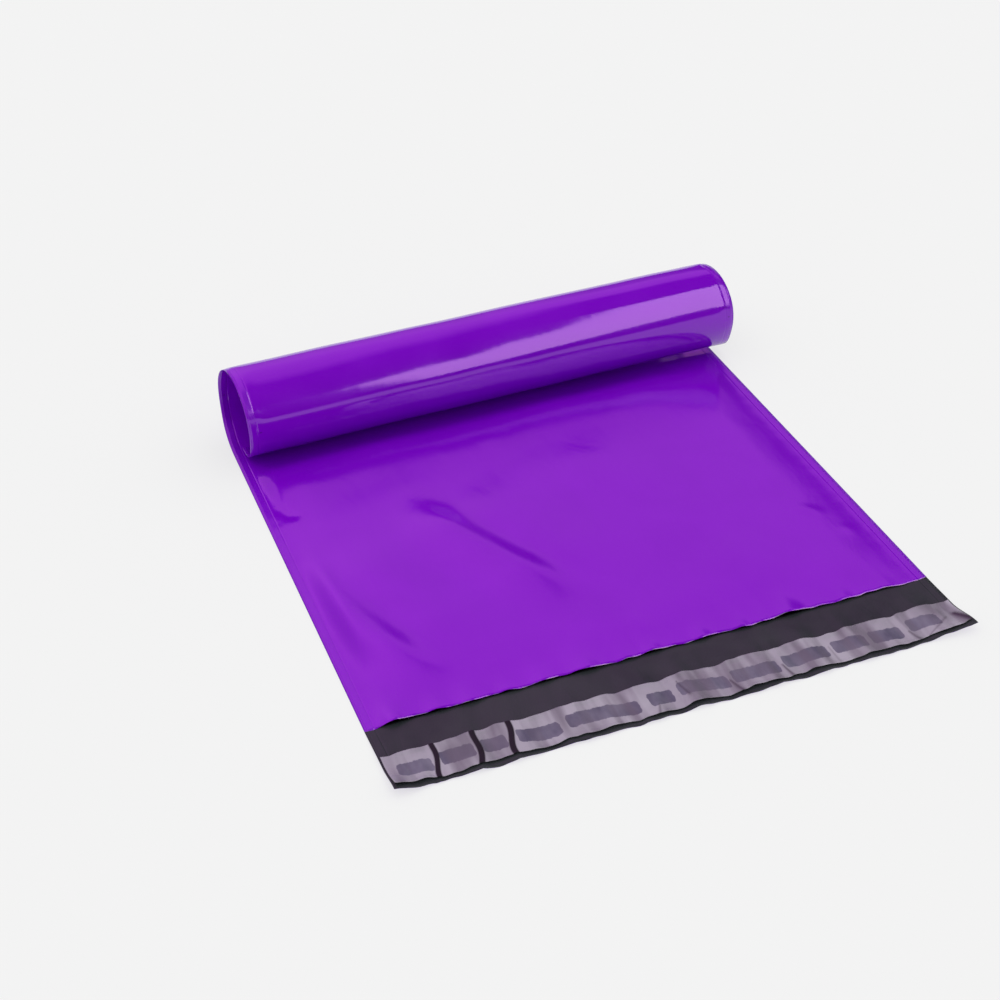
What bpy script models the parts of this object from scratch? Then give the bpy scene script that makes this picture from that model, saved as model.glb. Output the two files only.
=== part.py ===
"""A poly mailer: a flat film envelope, lying open side up with its closed end curled over itself.

The film is one folded and side-welded piece, so the mailer's body is one solid. It is drawn flat,
as it comes off the machine, and every point is then moved to where the curl and the slack in the
front wall take it. A line of adhesive and its peel-off liner lie on the flap.
"""

import math

import bmesh
import bpy
import numpy as np

# The mailer, cut and welded, in metres
WIDTH = 0.305
POUCH_LENGTH = 0.406
FLAP_LENGTH = 0.044
FILM = 0.00008
SIDE_WELD = 0.005

# The slack between the two walls of film
SEAM_GAP = 0.00005
POUCH_GAP = 0.0002
SLACK = 0.0014
SLACK_BORDER = 0.026
FOLD_BORDER = 0.012
LIP_REACH = 0.035
LIP_SLACK_SHARE = 0.25
ARCH_REACH = 0.010
FOLD_FADE = 0.33

# The swell where the curl pushes the front wall together
BULGE_HEIGHT = 0.0033
BULGE_SETBACK = 0.031
BULGE_REACH = 0.0225
BULGE_WAVE = 0.0016
BULGE_WAVE_LENGTH = 0.100
BULGE_CREST = 0.020

# The curl at the closed end
CURL_RADIUS = 0.0266
CURL_TIGHTENING = 0.038
CURL_TURN = math.radians(351)
CURL_LEAD = 0.006
CURL_SKEW = math.radians(2)
PRESSED_LENGTH = 0.024

# How the flap ruffles off what it lies on, and how its corners lift
RUFFLE_HEIGHT = 0.00055
RUFFLE_LENGTH = 0.031
RUFFLE_FADE = 0.030
CORNER_REACH = 0.026
CORNER_DEPTH = 0.020
LEFT_CORNER_LIFT = 0.0030
RIGHT_CORNER_LIFT = 0.0040

# The adhesive and the liner that covers it
SEAT_GAP = 0.0003
GLUE_WIDTH = 0.007
GLUE_THICKNESS = 0.00015
GLUE_END_MARGIN = 0.004
LINER_WIDTH = 0.021
LINER_THICKNESS = 0.00008
LINER_END_MARGIN = 0.001
FLAP_EDGE_MARGIN = 0.003
PLEAT_LINES = (-2, -1.1, 0, 1.1, 2)

# Spacing of the mesh lines
CELL_ACROSS = 0.0062
CELL_ALONG = 0.0095
CURL_STEP = math.radians(9)
FOLD_STEPS = 4
PROFILE_STEP = 0.0001
SNAP = 1e-7

# Soft folds in the front wall: start and end as (from the centre line, from the flap's edge), the
# half width of the left and the right flank, and the height
FOLDS = (
    ((-0.144, 0.172), (-0.116, 0.078), 0.012, 0.0085, 0.0024),
    ((-0.077, 0.206), (-0.020, 0.109), 0.018, 0.0070, 0.0023),
    ((-0.004, 0.078), (0.003, 0.050), 0.009, 0.0060, 0.00045),
    ((0.051, 0.112), (0.085, 0.068), 0.020, 0.0140, 0.00040),
    ((0.010, 0.216), (0.056, 0.158), 0.022, 0.0160, 0.00050),
    ((0.112, 0.128), (0.138, 0.088), 0.009, 0.0060, 0.00045),
)

# Where the front wall's lip arches off the flap: the place, half length and height of each arch
LIP_ARCHES = (
    (-0.141, 0.0085, 0.0018),
    (-0.1155, 0.0056, 0.0011),
    (-0.0995, 0.0062, 0.0012),
    (-0.080, 0.0045, 0.0008),
    (-0.0615, 0.0056, 0.0011),
    (-0.0395, 0.0074, 0.0015),
    (-0.018, 0.0050, 0.0006),
    (-0.004, 0.0050, 0.0011),
    (0.023, 0.0050, 0.0011),
    (0.045, 0.0045, 0.0008),
    (0.075, 0.0056, 0.0016),
    (0.1045, 0.0050, 0.0011),
    (0.129, 0.0040, 0.0007),
)

# The pleats pinched across the liner: the place, half width, height and slant of each
PLEATS = (
    (-0.1282, 0.0015, 0.0011, 0.10),
    (-0.1078, 0.0017, 0.0012, 0.16),
    (-0.0912, 0.0017, 0.0012, 0.12),
    (-0.0246, 0.0012, 0.0006, -0.25),
    (0.0214, 0.0012, 0.0005, 0.20),
    (0.0490, 0.0012, 0.0006, 0.30),
    (0.1189, 0.0013, 0.0008, 0.25),
)

# Worked out from the sizes above
BLANK_LENGTH = FLAP_LENGTH + POUCH_LENGTH
STACK = 2 * FILM + POUCH_GAP
HALF_WIDTH = WIDTH / 2
HALF_POCKET = HALF_WIDTH - SIDE_WELD
END_CURVATURE = 1 / (CURL_RADIUS * (1 - CURL_TIGHTENING))
MEAN_CURVATURE = (1 / CURL_RADIUS + END_CURVATURE) / 2
CURL_LENGTH = (CURL_TURN + CURL_LEAD / (2 * CURL_RADIUS)) / MEAN_CURVATURE
FLAT_LENGTH = BLANK_LENGTH - CURL_LENGTH
SKEW_REACH = HALF_WIDTH * math.tan(abs(CURL_SKEW))
GLUE_HEIGHT = FILM + SEAT_GAP
LINER_HEIGHT = GLUE_HEIGHT + GLUE_THICKNESS + SEAT_GAP
LINER_MIDDLE = FLAP_EDGE_MARGIN + LINER_WIDTH / 2
FLAP_ROWS = (0, FLAP_EDGE_MARGIN, LINER_MIDDLE, FLAP_EDGE_MARGIN + LINER_WIDTH, FLAP_LENGTH)

# Colours, and how rough each surface is
PURPLE = (0.250, 0.003, 0.570)
PURPLE_ROUGHNESS = 0.12
INSIDE_GREY = (0.034, 0.031, 0.040)
INSIDE_ROUGHNESS = 0.35
GLUE_BLUE_GREY = (0.130, 0.120, 0.185)
GLUE_ROUGHNESS = 0.25
LINER_LILAC_GREY = (0.300, 0.255, 0.320)
LINER_ROUGHNESS = 0.30
SHARP_ANGLE = math.radians(40)


def clear_scene():
    for obj in list(bpy.data.objects):
        bpy.data.objects.remove(obj)


def material(name, colour, roughness):
    made = bpy.data.materials.new(name)
    made.use_nodes = True
    shader = made.node_tree.nodes["Principled BSDF"]
    shader.inputs["Base Color"].default_value = (*colour, 1)
    shader.inputs["Roughness"].default_value = roughness
    shader.inputs["Metallic"].default_value = 0
    made.diffuse_color = (*colour, 1)
    return made


def add_object(name, bm, materials):
    mesh = bpy.data.meshes.new(name)
    bm.to_mesh(mesh)
    bm.free()
    for one in materials:
        mesh.materials.append(one)
    mesh.shade_smooth()
    mesh.set_sharp_from_angle(angle=SHARP_ANGLE)
    obj = bpy.data.objects.new(name, mesh)
    bpy.context.scene.collection.objects.link(obj)
    return obj


def smooth_step(share):
    share = min(max(share, 0.0), 1.0)
    return share * share * (3 - 2 * share)


def spaced(start, end, step):
    """Evenly spaced values inside a span, about a step apart, without its ends."""
    count = max(1, round((end - start) / step))
    return [start + (end - start) * i / count for i in range(1, count)]


POCKET_COLUMNS = spaced(-HALF_POCKET, HALF_POCKET, CELL_ACROSS)
COLUMNS = (-HALF_WIDTH, -HALF_POCKET, *POCKET_COLUMNS, HALF_POCKET, HALF_WIDTH)


def curl_table():
    """The curl's section: how far round it a point is, and the reach, rise and lean there.

    Its curvature grows from nothing over the lead, and then slowly to the tighter inner end.
    """
    longest = CURL_LENGTH + 2 * SKEW_REACH + STACK
    along = np.linspace(0, longest, 2 + int(longest / PROFILE_STEP))
    curvature = 1 / CURL_RADIUS + (END_CURVATURE - 1 / CURL_RADIUS) * along / CURL_LENGTH
    curvature *= np.clip(along / CURL_LEAD, 0, 1)
    step = along[1]

    def summed(rate):
        return np.concatenate([[0], np.cumsum((rate[1:] + rate[:-1]) / 2 * step)])

    lean = summed(curvature)
    return along, summed(np.cos(lean)), summed(np.sin(lean)), lean


CURL = curl_table()


def past_curl_line(x, y):
    """How far a point of the flat mailer lies past the line where the curl starts."""
    return (y - FLAT_LENGTH) * math.cos(CURL_SKEW) - x * math.sin(CURL_SKEW)


def fold(x, y, start, end, left_flank, right_flank, height):
    """The height of one long soft fold at a point: it fades at its ends."""
    run = (end[0] - start[0], end[1] - start[1])
    length = math.hypot(*run)
    along = ((x - start[0]) * run[0] + (y - start[1]) * run[1]) / length
    aside = ((y - start[1]) * run[0] - (x - start[0]) * run[1]) / length
    flank = right_flank if aside > 0 else left_flank
    fading = FOLD_FADE * length
    fade = smooth_step(along / fading) * smooth_step((length - along) / fading)
    return height * fade * math.exp(-((aside / flank) ** 2))


def arch(x, y, at, half_length, height):
    """The height of one arch of the lip at a point: it dies away behind the lip."""
    aside = (x - at) / half_length
    behind = max(y - FLAP_LENGTH, 0) / ARCH_REACH
    return height * math.exp(-(aside**2) - behind**2)


def bulge(x, past):
    """The swell in front of the curl, whose crest wanders along its length."""
    wander = BULGE_WAVE * math.cos(2 * math.pi * (x - BULGE_CREST) / BULGE_WAVE_LENGTH)
    return BULGE_HEIGHT * math.exp(-(((past + BULGE_SETBACK - wander) / BULGE_REACH) ** 2))


def slack(x, y):
    """The gap between the two walls of film: nearly closed at the welds and where the curl presses."""
    inward = HALF_POCKET - abs(x)
    near, wide = smooth_step(inward / FOLD_BORDER), smooth_step(inward / SLACK_BORDER)
    past = past_curl_line(x, y)
    free = smooth_step(-(past + CURL_LEAD) / PRESSED_LENGTH)
    at_lip = LIP_SLACK_SHARE + (1 - LIP_SLACK_SHARE) * smooth_step((y - FLAP_LENGTH) / LIP_REACH)
    folds = sum(fold(x, y, *one) for one in FOLDS)
    arches = sum(arch(x, y, *one) for one in LIP_ARCHES)
    rise = wide * SLACK * at_lip + near * (bulge(x, past) + folds + arches)
    return SEAM_GAP + near * (POUCH_GAP - SEAM_GAP) + free * rise


def ruffle(x, y):
    """How far the flap lifts off what it lies on at a point: not at all at the lip."""
    waves = RUFFLE_HEIGHT * (1 + math.sin(2 * math.pi * x / RUFFLE_LENGTH))
    corner_lift = LEFT_CORNER_LIFT if x < 0 else RIGHT_CORNER_LIFT
    near_side = smooth_step((abs(x) - HALF_WIDTH) / CORNER_REACH + 1)
    near_front = smooth_step(1 - y / CORNER_DEPTH)
    return smooth_step((FLAP_LENGTH - y) / RUFFLE_FADE) * (waves + corner_lift * near_side * near_front)


FLAP_HEIGHTS = [[ruffle(x, y) for x in COLUMNS] for y in FLAP_ROWS]


def flap_lift(x, y):
    """The flap's lift, straight between its mesh lines, so that what lies on it fits it."""
    return float(np.interp(y, FLAP_ROWS, [np.interp(x, COLUMNS, heights) for heights in FLAP_HEIGHTS]))


def height_of(level, gap):
    """The height of a level of the flat drawing once the gap between the walls is its true one."""
    if level <= FILM:
        return level
    if level >= STACK - FILM:
        return level + gap - POUCH_GAP
    return FILM + gap * (level - FILM) / POUCH_GAP


def curled(x, y, height):
    """Where a point of the flat mailer lies once the closed end has curled over."""
    across = past_curl_line(x, y)
    if across > 0:
        reach, rise, lean = (np.interp(across, CURL[0], values) for values in CURL[1:])
        moved = reach - across - height * math.sin(lean)
        x -= moved * math.sin(CURL_SKEW)
        y += moved * math.cos(CURL_SKEW)
        height = rise + height * math.cos(lean)
    return x, y - FLAT_LENGTH / 2, height


def bisect(bm, point, normal, faces=None):
    """Cuts all the faces, or only some of them, along a plane."""
    faces = faces or bm.faces[:]
    edges = dict.fromkeys(edge for face in faces for edge in face.edges)
    verts = dict.fromkeys(vert for face in faces for vert in face.verts)
    geom = [*verts, *edges, *faces]
    bmesh.ops.bisect_plane(bm, geom=geom, plane_co=point, plane_no=normal, dist=SNAP)


def film_section():
    """The flat mailer's outline along its length: back wall, closed fold, and the step at the lip."""
    half_stack = STACK / 2
    points = [(0, 0)]
    for i in range(FOLD_STEPS + 1):
        turn = math.pi * i / FOLD_STEPS
        along = BLANK_LENGTH - half_stack * (1 - math.sin(turn))
        points.append((along, half_stack * (1 - math.cos(turn))))
    return points + [(FLAP_LENGTH, STACK), (FLAP_LENGTH, FILM), (0, FILM)]


def extruded(section, x_from, x_to):
    """A section drawn in length and height, run across the mailer."""
    bm = bmesh.new()
    face = bm.faces.new([bm.verts.new((x_from, y, z)) for y, z in section])
    made = bmesh.ops.extrude_face_region(bm, geom=[face])["geom"]
    moved = [part for part in made if isinstance(part, bmesh.types.BMVert)]
    bmesh.ops.translate(bm, verts=moved, vec=(x_to - x_from, 0, 0))
    bmesh.ops.recalc_face_normals(bm, faces=bm.faces[:])
    return bm


def open_pocket(bm):
    """Pushes the mouth in between the two walls as far as the closed end."""
    for side in (-1, 1):
        bisect(bm, (side * HALF_POCKET, 0, 0), (1, 0, 0))
    bisect(bm, (0, 0, STACK - FILM), (0, 0, 1))
    mouth = [face for face in bm.faces if is_mouth(face)]
    made = bmesh.ops.extrude_face_region(bm, geom=mouth)["geom"]
    moved = [part for part in made if isinstance(part, bmesh.types.BMVert)]
    bmesh.ops.translate(bm, verts=moved, vec=(0, POUCH_LENGTH - STACK / 2, 0))
    bmesh.ops.delete(bm, geom=mouth, context="FACES_ONLY")


def is_mouth(face):
    centre = face.calc_center_median()
    at_lip = abs(centre.y - FLAP_LENGTH) < FILM / 2
    return at_lip and abs(centre.x) < HALF_POCKET and FILM < centre.z < STACK - FILM


def is_flat(face):
    return abs(face.normal.z) > 0.9


def split_alike(bm):
    """Splits each flat face from its corner at the far left, so that all walls bend alike."""
    for face in [face for face in bm.faces if is_flat(face) and len(face.verts) > 3]:
        corners = list(face.verts)
        first = min(range(len(corners)), key=lambda i: corners[i].co.x - corners[i].co.y)
        corners = corners[first:] + corners[:first]
        for second, third in zip(corners[1:-1], corners[2:]):
            bm.faces.new((corners[0], second, third))
        bm.faces.remove(face)


def add_mesh_lines(bm):
    """Cuts the lines along which the film can bend: rulings on the curl, and a grid on the flat part."""
    ruling = (-math.sin(CURL_SKEW), math.cos(CURL_SKEW), 0)
    straight_end = FLAP_LENGTH + LIP_REACH
    skewed_start = straight_end + 2 * SKEW_REACH
    for y in (*FLAP_ROWS[1:], *spaced(FLAP_LENGTH, straight_end, CELL_ALONG), straight_end):
        bisect(bm, (0, y, 0), (0, 1, 0))
    for y in (skewed_start, *spaced(skewed_start, FLAT_LENGTH, CELL_ALONG), FLAT_LENGTH):
        bisect(bm, (0, y, 0), ruling)
    for past in spaced(0, CURL_LENGTH + SKEW_REACH, CURL_RADIUS * CURL_STEP):
        bisect(bm, (0, FLAT_LENGTH + past, 0), ruling)
    for x in POCKET_COLUMNS:
        flat = [face for face in bm.faces if past_curl_line(*face.calc_center_median()[:2]) < 0]
        bisect(bm, (x, 0, 0), (1, 0, 0), flat)


def mailer_bag():
    """The folded and welded film: back wall with the flap, front wall, and the pocket between them."""
    bm = extruded(film_section(), -HALF_WIDTH, HALF_WIDTH)
    open_pocket(bm)
    add_mesh_lines(bm)
    for face in bm.faces:
        level = face.calc_center_median().z
        face.material_index = int(is_flat(face) and FILM / 2 < level < STACK - FILM / 2)
    split_alike(bm)
    for vert in bm.verts:
        x, y, level = vert.co
        vert.co = curled(x, y, height_of(level, slack(x, y)) + flap_lift(x, y))
    materials = [
        material("purple_film", PURPLE, PURPLE_ROUGHNESS),
        material("grey_film_inside", INSIDE_GREY, INSIDE_ROUGHNESS),
    ]
    return add_object("mailer_bag", bm, materials)


def strip(width, thickness, end_margin):
    """A flat strip along the flap, centred on the liner's middle line, with its underside at zero."""
    near = LINER_MIDDLE - width / 2
    section = [(near, 0), (near + width, 0), (near + width, thickness), (near, thickness)]
    bm = extruded(section, end_margin - HALF_WIDTH, HALF_WIDTH - end_margin)
    bisect(bm, (0, LINER_MIDDLE, 0), (0, 1, 0))
    for x in COLUMNS[1:-1]:
        bisect(bm, (x, 0, 0), (1, 0, 0))
    return bm


def adhesive_strip():
    bm = strip(GLUE_WIDTH, GLUE_THICKNESS, GLUE_END_MARGIN)
    split_alike(bm)
    for vert in bm.verts:
        x, y, level = vert.co
        vert.co = curled(x, y, level + GLUE_HEIGHT + flap_lift(x, y))
    return add_object("adhesive_strip", bm, [material("adhesive", GLUE_BLUE_GREY, GLUE_ROUGHNESS)])


def pleat(x, y, at, half_width, height, slant):
    """The height of one pleat across the liner at a point."""
    aside = x - at - slant * (y - LINER_MIDDLE)
    return height * math.exp(-((aside / half_width) ** 2))


def release_liner():
    """The peel-off liner over the adhesive, pinched into pleats where the flap has buckled."""
    bm = strip(LINER_WIDTH, LINER_THICKNESS, LINER_END_MARGIN)
    for at, half_width, _, slant in PLEATS:
        for share in PLEAT_LINES:
            bisect(bm, (at + share * half_width, LINER_MIDDLE, 0), (1, -slant, 0))
    split_alike(bm)
    for vert in bm.verts:
        x, y, level = vert.co
        lift = flap_lift(x, y) + max(pleat(x, y, *one) for one in PLEATS)
        vert.co = curled(x, y, level + LINER_HEIGHT + lift)
    return add_object("release_liner", bm, [material("liner", LINER_LILAC_GREY, LINER_ROUGHNESS)])


def main():
    clear_scene()
    mailer_bag()
    adhesive_strip()
    release_liner()


main()
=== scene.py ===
"""The looks of a glossy purple poly mailer, lying open side up with its closed end curled over."""

import math

import bmesh
import bpy
import numpy as np
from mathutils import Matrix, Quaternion, Vector


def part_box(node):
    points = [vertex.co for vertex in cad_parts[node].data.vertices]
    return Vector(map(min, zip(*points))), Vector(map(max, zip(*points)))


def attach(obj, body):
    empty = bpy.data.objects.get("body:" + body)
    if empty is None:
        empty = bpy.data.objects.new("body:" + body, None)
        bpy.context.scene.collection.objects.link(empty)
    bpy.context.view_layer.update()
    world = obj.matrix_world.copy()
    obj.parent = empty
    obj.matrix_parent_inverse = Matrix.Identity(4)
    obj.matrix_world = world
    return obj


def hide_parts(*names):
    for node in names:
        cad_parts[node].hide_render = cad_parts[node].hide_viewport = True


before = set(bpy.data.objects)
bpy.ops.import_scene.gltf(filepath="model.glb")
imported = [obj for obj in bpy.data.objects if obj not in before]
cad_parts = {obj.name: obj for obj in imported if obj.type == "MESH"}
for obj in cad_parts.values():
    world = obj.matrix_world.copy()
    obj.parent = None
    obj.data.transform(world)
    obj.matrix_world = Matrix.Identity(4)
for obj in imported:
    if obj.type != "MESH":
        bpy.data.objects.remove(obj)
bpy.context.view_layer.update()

BAG_LOW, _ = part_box("mailer_bag")
LINER_LOW, LINER_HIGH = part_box("release_liner")
GLUE_LOW, GLUE_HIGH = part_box("adhesive_strip")

# The mailer's sizes, in metres
WIDTH = 2 * -BAG_LOW.x
FLAT_LENGTH = 2 * -BAG_LOW.y
HALF_WIDTH = WIDTH / 2
FLAP_LENGTH = 0.044
FILM = 0.00008
SIDE_WELD = 0.005
SEAM_GAP = 0.00003
POUCH_GAP = 0.0002

# The slack front wall. Here and below, a wave is its height, its length and where it starts
SLACK = 0.0014
SLACK_BORDER = 0.026
SLACK_WAVE_ACROSS = (0.00010, 0.083, 0.4)
SLACK_WAVE_ALONG = (0.00008, 0.061, 1.7)
FOLD_BORDER = 0.012
FOLD_FADE_SHARE = 0.3
FOLD_FADE_LEAST = 0.004
PINCH_BORDER = 0.005
SUNK_SHARE = 0.25
PRESSED_REACH = 0.006
FREE_REACH = 0.024

# The front wall's lip, where it lies on the flap
LIP_RISE = 0.7
LIP_GAP = 0.0002
LIP_REACH = 0.035
LIP_SLACK_SHARE = 0.25
ARCH_SHARE = 0.62
ARCH_REACH = 5.0
ARCH_FALL = 1.5

# The bulge that stands in the front wall beside the curl
BULGE_HEIGHT = 0.0033
BULGE_BORDER = 0.011
BULGE_SETBACK = 0.031
BULGE_REACH = 0.0225
BULGE_SWING = 0.0016
BULGE_SWING_LENGTH = 0.100
BULGE_CREST = 0.020
BULGE_WAVE = (0.0004, 0.037, 0.3)
BULGE_FADE_START = 0.080
BULGE_FADE_REACH = 0.055
BULGE_FADE_SHARE = 0.75

# Short ripples along the side welds
WELD_PUCKER = (0.00004, 0.013, 0.8)
WELD_PUCKER_REACH = 0.006
WELD_PUCKER_START = 0.03
WELD_PUCKER_SHIFT = 0.01

# The flap's ruffle, and its two lifted corners: side, height, start across, and reach back
FLAP_RUFFLE = (0.00055, 0.031, 0.5)
FLAP_RIPPLE = (0.0002, 0.0135, 2.1)
RUFFLE_END = FLAP_LENGTH + 0.004
RUFFLE_REACH = 0.030
LEVEL_START = FLAP_LENGTH - 0.004
LEVEL_REACH = 0.008
FLAP_CORNERS = (
    (-1, 0.0035, 0.128, 0.018),
    (1, 0.0045, 0.126, 0.022),
)
CORNER_REACH = 0.03

# The edges that were cut and then pulled
EDGE_WAVE = (0.00035, 0.041)
EDGE_NICKS = (0.00018, 0.0123)
FLAP_EDGE_INSET = 0.0004
FLAP_EDGE_REACH = 0.006
FLAP_EDGE_START = 1.3
LIP_EDGE_REACH = 0.008
LIP_EDGE_START = 2.4
LIP_EDGE_SHARE = 1.2

# The curl at the closed end
CURL_RADIUS = 0.0266
CURL_TIGHTENING = 0.038
CURL_TURN = math.radians(351)
CURL_LEAD = 0.006
CURL_SKEW = math.radians(2)
PROFILE_STEP = 0.0001
PROFILE_SPARE = 0.002
CURL_WAVE_START = 0.03
CURL_WAVE_ACROSS = (0.00010, 0.13, 0.6)
CURL_WAVE_ROUND = (0.00007, 0.071, 2.0)
CURL_PUCKER = (0.00028, 0.017, 1.1)
CURL_PUCKER_REACH = 0.0035
CURL_FLARE = 0.00036
CURL_FLARE_WAVE = (0.0006, 0.045, 2.5)

END_CURVATURE = 1 / (CURL_RADIUS * (1 - CURL_TIGHTENING))
MEAN_CURVATURE = (1 / CURL_RADIUS + END_CURVATURE) / 2
CURL_LENGTH = (CURL_TURN + CURL_LEAD / (2 * CURL_RADIUS)) / MEAN_CURVATURE
BLANK_LENGTH = FLAT_LENGTH + CURL_LENGTH
WEB_LENGTH = 2 * BLANK_LENGTH - FLAP_LENGTH

# The liner on the flap
FLAP_EDGE_MARGIN = LINER_LOW.y - BAG_LOW.y
LINER_WIDTH = LINER_HIGH.y - LINER_LOW.y
LINER_MIDDLE = FLAP_EDGE_MARGIN + LINER_WIDTH / 2
LINER_LIFT = 0.00045
LINER_PUCKER = (0.00022, 0.0230, 0.9)
LINER_CRIMP = (0.00007, 0.0105, 2.6)
LINER_STUCK_SHARE = 0.75
LINER_MIDDLE_SHARE = 0.35
LINER_EDGE_CURL = 0.0006
LINER_EDGE_START = 0.72
LINER_EDGE_MEAN = 0.6
LINER_EDGE_WAVE = (0.4, 0.027, 0.4)
LINER_CORNER = 0.0012
LINER_CORNER_START = 0.135
LINER_CORNER_REACH = 0.02
LINER_CORNER_BACK = 0.012
LINER_CORNER_RAMP = 0.010
LINER_SIDE_WAVE = (0.0005, 0.033, 1.9)
LINER_SIDE_NICKS = (0.0002, 0.011, 0.2)

# The patches where the liner touches its adhesive
CONTACT_HALF = 0.0043
CONTACT_ROUND = 0.0022
CONTACT_END = 0.0015
CONTACT_END_PULL = 1.6
CONTACT_BLUR = 0.0030
CONTACT_SLANT = 0.06
CONTACT_SETBACK = 0.0006
CONTACT_WAVE = (0.0007, 0.06, 0.7)

# How much of a pleat each layer shows, and how a pleat wanders as it crosses
FILM_PLEAT_SHARE = 0.6
GLUE_PLEAT_SHARE = 0.35
LINER_PLEAT_SHARE = 0.4
FILM_PLEAT_END = 0.028
FILM_PLEAT_FADE = 0.006
PLEAT_WANDER = 0.0009
PLEAT_WANDER_LENGTH = 0.0042
CREASE_HEIGHT = 0.0002
CREASE_TIP = 0.45

# The bead of adhesive
BEAD_LIFT = 0.00012
BEAD_CROWN = 0.00010
BEAD_WAVE = (0.00002, 0.004, 0.4)
BEAD_EDGE_WAVE = (0.00025, 0.019, 1.0)
BEAD_FILM = 0.00012

# Mesh spacing
COLUMNS = 152
FLAP_ROWS = 28
BACK_ROWS = 26
OUTER_CURL_ROWS = 50
FOLD_ROWS = 4
INNER_CURL_ROWS = 40
FRONT_ROWS = 136
LINER_COLUMNS = 505
LINER_ROWS = 30
BEAD_COLUMNS = 300
BEAD_ROWS = 12
ROW_MARGIN = 0.006

MM = 0.001

# Long soft folds in the front wall: start and end in mm from the centre line and from the flap's
# edge, the half width to each side, the height, and how far the line bows to the right
FOLDS = (
    ((-149, 188), (-104, 56), 13.0, 13.0, 4.60, -9.5),
    ((-122, 192), (-80, 70), 13.0, 26.0, 1.90, -8.0),
    ((-80, 208), (-18, 92), 18.0, 12.0, 3.70, -4.0),
    ((-50, 208), (6, 104), 13.0, 26.0, 1.80, -4.0),
    ((117, 124), (133, 107), 5.0, 3.5, 0.35, 0.0),
    ((128, 98), (143, 91), 5.0, 3.5, 0.32, 0.0),
    ((-4, 78), (3, 50), 9.0, 5.0, 0.45, 0.0),
    ((54, 112), (88, 68), 20.0, 14.0, 0.60, 3.0),
    ((14, 216), (60, 158), 22.0, 16.0, 0.60, 4.0),
)

# One sharp pinch beside the left weld: middle, half length, half width, turn in degrees, and depth
PINCH = ((-141.0, 219), 8, 3.0, -57, 0.80)

# Stretches where the liner touches its adhesive, from and to, in mm from the centre line
CONTACTS = (
    (-147.0, -130.0),
    (-126.2, -109.5),
    (-105.8, -93.7),
    (-88.5, -67.2),
    (-63.6, -27.1),
    (-22.0, -8.6),
    (-5.6, 20.2),
    (22.6, 47.4),
    (50.4, 75.2),
    (78.4, 96.4),
    (99.0, 116.8),
    (121.0, 138.5),
)

# Narrow pleats that cross the liner: where, half width, depth and slant
PLEATS = (
    (-128.2, 1.5, 1.1, 0.10),
    (-107.8, 1.7, 1.2, 0.16),
    (-91.2, 1.7, 1.2, 0.12),
    (-24.6, 1.6, 0.34, -0.10),
    (21.4, 1.4, 0.30, 0.20),
    (49.0, 1.5, 0.34, 0.30),
    (77.6, 1.5, 0.28, 0.15),
    (118.9, 1.4, 0.36, 0.25),
    (141.0, 1.5, 0.34, -0.35),
)

# Short soft creases in the liner's front half: start and end, half width in mm, and how dark their painted
# shade is, which also scales their height
CREASES = (
    ((-18.1, 9.0), (-21.3, 2.0), 1.0, 0.55),
    ((-4.0, 19.9), (-1.8, 9.6), 0.9, 0.60),
    ((20.8, 11.7), (23.5, 2.0), 1.1, 0.75),
    ((49.2, 11.8), (50.9, 2.0), 1.1, 0.75),
    ((76.9, 15.7), (77.1, 4.0), 0.8, 0.35),
    ((119.8, 10.6), (122.1, 2.8), 1.1, 0.60),
    ((127.5, 3.0), (142.0, 12.0), 0.7, 0.45),
    ((147.5, 12.5), (151.5, 3.0), 4.2, 1.00),
)

# Where the front wall's lip arches off the flap: where, half length and height in mm
LIP_ARCHES = (
    (-141.0, 14.0, 4.0),
    (-115.5, 9.0, 1.5),
    (-99.5, 10.0, 1.7),
    (-80.0, 7.0, 1.2),
    (-61.5, 9.0, 1.5),
    (-39.5, 12.0, 2.2),
    (-18.0, 8.0, 0.9),
    (-4.0, 8.0, 1.6),
    (23.0, 8.0, 1.6),
    (45.0, 7.0, 1.1),
    (57.0, 6.0, 1.0),
    (72.5, 12.0, 2.3),
    (90.0, 7.0, 0.5),
    (103.5, 8.0, 1.0),
    (117.0, 8.0, 0.4),
    (129.0, 8.0, 0.4),
)


# Shapes

def smooth_step(share):
    share = np.clip(share, 0, 1)
    return share * share * (3 - 2 * share)


def ripple(values, length, phase):
    """A wave whose length drifts, so that it never looks regular. It runs from -1 to 1."""
    turn = 2 * math.pi * values / length
    return np.sin(turn + phase + 1.1 * np.sin(0.37 * turn + 2 * phase))


def wave(values, height, length, phase):
    """A ripple of a given height."""
    return height * ripple(values, length, phase)


def raised_wave(values, height, length, phase):
    """A ripple of a given height that never dips below nothing."""
    return height * (1 + ripple(values, length, phase))


def fold(x, y, start, end, left_width, right_width, height, bow):
    """One long soft fold that fades at its ends, with a flank of its own width on each side."""
    run = np.subtract(end, start) * MM
    length = math.hypot(*run)
    from_start = x - start[0] * MM, y - start[1] * MM
    along = (from_start[0] * run[0] + from_start[1] * run[1]) / length
    aside = (from_start[1] * run[0] - from_start[0] * run[1]) / length
    share = np.clip(along / length, 0, 1)
    aside = aside - bow * MM * 4 * share * (1 - share)
    flank = np.where(aside > 0, right_width, left_width) * MM
    fading = FOLD_FADE_SHARE * length + FOLD_FADE_LEAST
    fade = smooth_step(along / fading) * smooth_step((length - along) / fading)
    return height * MM * fade * np.exp(-((aside / flank) ** 2))


def pinch(x, y, middle, half_length, half_width, turn, depth):
    """One short pinch with steep sides."""
    angle = math.radians(turn)
    dx, dy = x - middle[0] * MM, y - middle[1] * MM
    along = (dx * math.cos(angle) + dy * math.sin(angle)) / (half_length * MM)
    aside = (dy * math.cos(angle) - dx * math.sin(angle)) / (half_width * MM)
    return -depth * MM * np.exp(-(along**4) - aside**2)


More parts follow.
